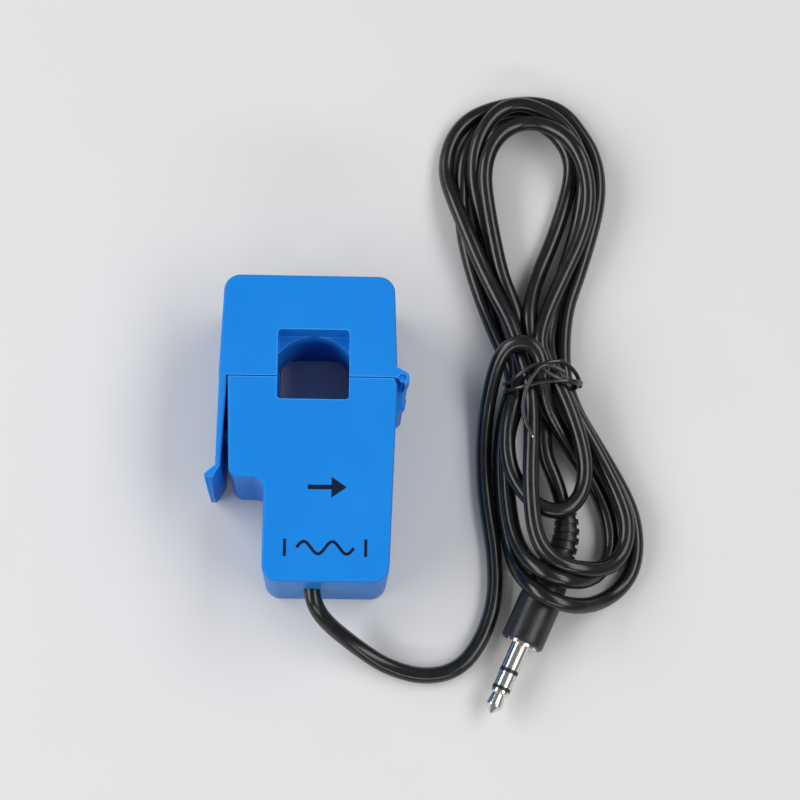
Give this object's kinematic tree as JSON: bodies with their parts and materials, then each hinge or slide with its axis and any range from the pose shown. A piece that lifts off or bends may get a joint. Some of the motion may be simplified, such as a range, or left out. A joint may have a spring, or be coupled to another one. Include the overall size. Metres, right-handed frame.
{
  "type": "current transformer",
  "caption": "Clip-on current transformer: a hinged blue jaw closes a split ferrite core round a square conductor window, and a thin black lead in a tied hank ends in a small jack plug.",
  "frame": {"origin": "on the axis of the conductor window, at the housing's back face, which lies on the surface", "axes": "+X towards the hinge, +Y from the lead's exit to the jaw, +Z out of the front face along the conductor's way; right-handed, metres"},
  "size_m": [0.082, 0.1235, 0.022],
  "materials": {
    "housing_plastic": "satin, evenly coloured blue",
    "ferrite": "ground grey-brown ferrite",
    "spring_steel": "rolled strip",
    "bobbin_plastic": "natural nylon",
    "copper_wire": "enamelled copper",
    "coil_tape": "polyester tape",
    "circuit_board": "solder resist over glass fibre",
    "resistor_lacquer": "lacquered",
    "red_insulation": "soft insulation",
    "white_insulation": "soft insulation",
    "nylon_tie": "natural nylon",
    "cord_sheath": "glossy soft black",
    "tie_coating": "black plastic over thin steel wire",
    "grip_plastic": "moulded soft black",
    "plated_contact": "bright nickel",
    "contact_insulator": "black"
  },
  "bodies": {
    "housing": {"front_shell": "housing_plastic", "rear_shell": "housing_plastic", "lower_core": "ferrite", "bobbin_front_half": "bobbin_plastic", "bobbin_rear_half": "bobbin_plastic", "secondary_winding": "copper_wire", "winding_tape": "coil_tape", "winding_ends": "copper_wire", "load_board": "circuit_board", "load_resistor": "resistor_lacquer", "red_conductor": "red_insulation", "white_conductor": "white_insulation", "cord_tie": "nylon_tie", "cord_lead": "cord_sheath", "cord_hank": "cord_sheath", "cord_tail": "cord_sheath", "twist_tie": "tie_coating", "plug_grip": "grip_plastic", "plug_sleeve": "plated_contact", "plug_rear_insulator": "contact_insulator", "plug_ring": "plated_contact", "plug_front_insulator": "contact_insulator", "plug_tip": "plated_contact"},
    "jaw": {"jaw_shell": "housing_plastic", "upper_core": "ferrite", "core_spring": "spring_steel"}
  },
  "joints": [
    {"name": "jaw_open", "type": "hinge", "parent": "housing", "child": "jaw", "pos_m": [0.01615, -0.0023, 0.011], "axis": [0, 0, -1], "range_deg": [0, 65]}
  ]
}
